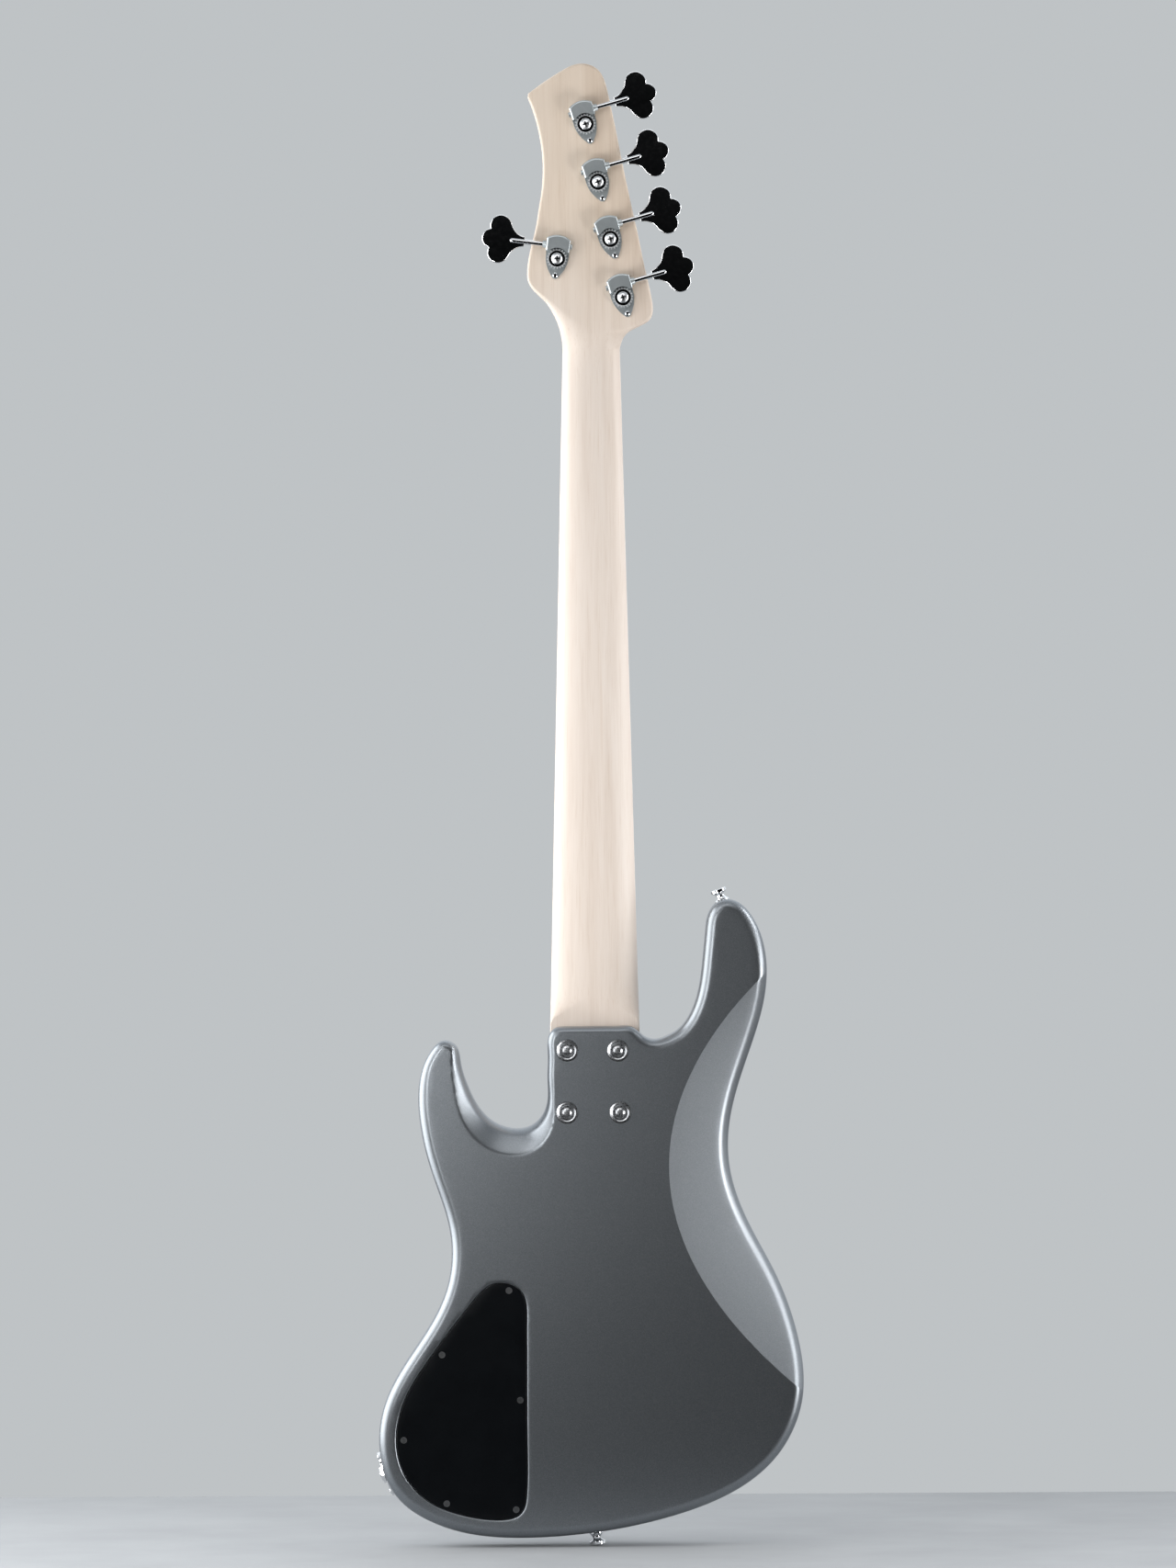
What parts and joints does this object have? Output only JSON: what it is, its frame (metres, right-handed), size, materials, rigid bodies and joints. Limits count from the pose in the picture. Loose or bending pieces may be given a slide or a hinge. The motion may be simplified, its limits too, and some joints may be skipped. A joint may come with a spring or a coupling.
{
  "type": "electric bass guitar",
  "caption": "Solid-body electric bass with bolt-on maple neck, offset double-cut body in satin pewter lacquer, rear control cover and clover-key open-gear tuners.",
  "frame": {"origin": "middle of the head of the lower strap button, on the neck's centre line and halfway through the body's thickness", "axes": "+Z along the neck towards the headstock, +Y out of the front (string side), +X towards the long upper horn (bass side)"},
  "size_m": [0.3352, 0.0618, 1.1639],
  "materials": {
    "body_lacquer": "satin pewter metallic lacquer over wood",
    "maple": "pale maple, satin oil finish",
    "dark_board": "dark brown open-grained wood, oiled",
    "nickel": "polished nickel silver",
    "pearl": "pearl plastic",
    "bone": "polished bone-coloured synthetic",
    "steel": "plain steel",
    "chrome": "polished chrome plating",
    "tuner_nickel": "satin nickel casting",
    "black_plastic": "black satin plastic",
    "black_steel": "blackened steel",
    "battery_case": "plain dark metal-look battery case",
    "board_green": "green circuit board with components",
    "pickup_black": "black moulded plastic",
    "string_wire": "round-wound nickel-plated steel"
  },
  "bodies": {
    "root": {"body": "body_lacquer", "neck": "maple", "fingerboard": "dark_board", "frets": "nickel", "fret_markers": "pearl", "nut": "bone", "truss_rod": "steel", "string_retainer": "chrome", "headstock_screws": "chrome", "neck_ferrules": "chrome", "neck_screws": "chrome", "control_cover": "black_plastic", "control_cover_screws": "black_steel", "strap_button_upper": "chrome", "strap_button_lower": "chrome", "strap_button_screws": "chrome", "jack_plate": "chrome", "jack_socket": "chrome", "jack_nut": "chrome", "jack_plate_screws": "chrome", "battery": "battery_case", "preamp_board": "board_green", "potentiometers": "steel", "pot_nuts": "chrome", "bridge_plate": "chrome", "bridge_screws": "chrome", "intonation_screws": "steel", "intonation_springs": "steel", "pickup_cover_neck": "pickup_black", "pickup_cover_bridge": "pickup_black", "pickup_poles": "nickel", "pickup_coils": "black_plastic", "pickup_screws": "chrome", "strings": "string_wire", "tuner_bushings": "chrome", "tuner_base_1": "tuner_nickel", "tuner_base_2": "tuner_nickel", "tuner_base_3": "tuner_nickel", "tuner_base_4": "tuner_nickel", "tuner_base_5": "tuner_nickel"},
    "tuner_key_1": {"tuner_key_1": "chrome"},
    "tuner_post_1": {"tuner_post_1": "chrome"},
    "tuner_key_2": {"tuner_key_2": "chrome"},
    "tuner_post_2": {"tuner_post_2": "chrome"},
    "tuner_key_3": {"tuner_key_3": "chrome"},
    "tuner_post_3": {"tuner_post_3": "chrome"},
    "tuner_key_4": {"tuner_key_4": "chrome"},
    "tuner_post_4": {"tuner_post_4": "chrome"},
    "tuner_key_5": {"tuner_key_5": "chrome"},
    "tuner_post_5": {"tuner_post_5": "chrome"},
    "knob_volume": {"knob_volume": "chrome"},
    "knob_blend": {"knob_blend": "chrome"},
    "knob_treble": {"knob_treble": "chrome"},
    "knob_bass": {"knob_bass": "chrome"},
    "saddle_1": {"saddle_1": "chrome"},
    "saddle_2": {"saddle_2": "chrome"},
    "saddle_3": {"saddle_3": "chrome"},
    "saddle_4": {"saddle_4": "chrome"},
    "saddle_5": {"saddle_5": "chrome"},
    "truss_rod_nut": {"truss_rod_nut": "steel"}
  },
  "joints": [
    {"name": "key_1_turn", "type": "hinge", "parent": "root", "child": "tuner_key_1", "pos_m": [0.02233, 0.0009, 0.98734], "axis": [0.9625, 0, 0.2714], "continuous": true},
    {"name": "post_1_turn", "type": "hinge", "parent": "root", "child": "tuner_post_1", "pos_m": [0.02513, 0.0051, 0.97743], "axis": [0, 1, 0], "continuous": true},
    {"name": "key_2_turn", "type": "hinge", "parent": "root", "child": "tuner_key_2", "pos_m": [0.01272, 0.0009, 1.03318], "axis": [0.9625, 0, 0.2714], "continuous": true},
    {"name": "post_2_turn", "type": "hinge", "parent": "root", "child": "tuner_post_2", "pos_m": [0.01552, 0.0051, 1.02327], "axis": [0, 1, 0], "continuous": true},
    {"name": "key_3_turn", "type": "hinge", "parent": "root", "child": "tuner_key_3", "pos_m": [0.00317, 0.0009, 1.07816], "axis": [0.9625, 0, 0.2714], "continuous": true},
    {"name": "post_3_turn", "type": "hinge", "parent": "root", "child": "tuner_post_3", "pos_m": [0.00597, 0.0051, 1.06825], "axis": [0, 1, 0], "continuous": true},
    {"name": "key_4_turn", "type": "hinge", "parent": "root", "child": "tuner_key_4", "pos_m": [-0.00631, 0.0009, 1.12364], "axis": [0.9625, 0, 0.2714], "continuous": true},
    {"name": "post_4_turn", "type": "hinge", "parent": "root", "child": "tuner_post_4", "pos_m": [-0.00351, 0.0051, 1.11373], "axis": [0, 1, 0], "continuous": true},
    {"name": "key_5_turn", "type": "hinge", "parent": "root", "child": "tuner_key_5", "pos_m": [-0.02528, 0.0009, 1.01831], "axis": [-0.9925, 0, 0.1219], "continuous": true},
    {"name": "post_5_turn", "type": "hinge", "parent": "root", "child": "tuner_post_5", "pos_m": [-0.02654, 0.0051, 1.00809], "axis": [0, 1, 0], "continuous": true},
    {"name": "knob_volume_turn", "type": "hinge", "parent": "root", "child": "knob_volume", "pos_m": [-0.0787, 0.03, 0.17], "axis": [0, 1, 0], "range_deg": [-150, 150]},
    {"name": "knob_blend_turn", "type": "hinge", "parent": "root", "child": "knob_blend", "pos_m": [-0.1041, 0.03, 0.1341], "axis": [0, 1, 0], "range_deg": [-150, 150]},
    {"name": "knob_treble_turn", "type": "hinge", "parent": "root", "child": "knob_treble", "pos_m": [-0.1259, 0.03, 0.09465], "axis": [0, 1, 0], "range_deg": [-150, 150]},
    {"name": "knob_bass_turn", "type": "hinge", "parent": "root", "child": "knob_bass", "pos_m": [-0.1139, 0.03, 0.0586], "axis": [0, 1, 0], "range_deg": [-150, 150]},
    {"name": "saddle_1_slide", "type": "slide", "parent": "root", "child": "saddle_1", "axis": [0, 0, 1], "range_m": [0, 0.006]},
    {"name": "saddle_2_slide", "type": "slide", "parent": "root", "child": "saddle_2", "axis": [0, 0, 1], "range_m": [0, 0.006]},
    {"name": "saddle_3_slide", "type": "slide", "parent": "root", "child": "saddle_3", "axis": [0, 0, 1], "range_m": [0, 0.006]},
    {"name": "saddle_4_slide", "type": "slide", "parent": "root", "child": "saddle_4", "axis": [0, 0, 1], "range_m": [0, 0.006]},
    {"name": "saddle_5_slide", "type": "slide", "parent": "root", "child": "saddle_5", "axis": [0, 0, 1], "range_m": [0, 0.006]},
    {"name": "truss_nut_turn", "type": "hinge", "parent": "root", "child": "truss_rod_nut", "pos_m": [0, 0.0198, 0.952], "axis": [0, 0, 1], "range_deg": [-180, 180]}
  ],
  "couplings": [
    {"joint": "post_1_turn", "follows": "key_1_turn", "ratio": -0.05},
    {"joint": "post_2_turn", "follows": "key_2_turn", "ratio": -0.05},
    {"joint": "post_3_turn", "follows": "key_3_turn", "ratio": -0.05},
    {"joint": "post_4_turn", "follows": "key_4_turn", "ratio": -0.05},
    {"joint": "post_5_turn", "follows": "key_5_turn", "ratio": -0.05}
  ]
}
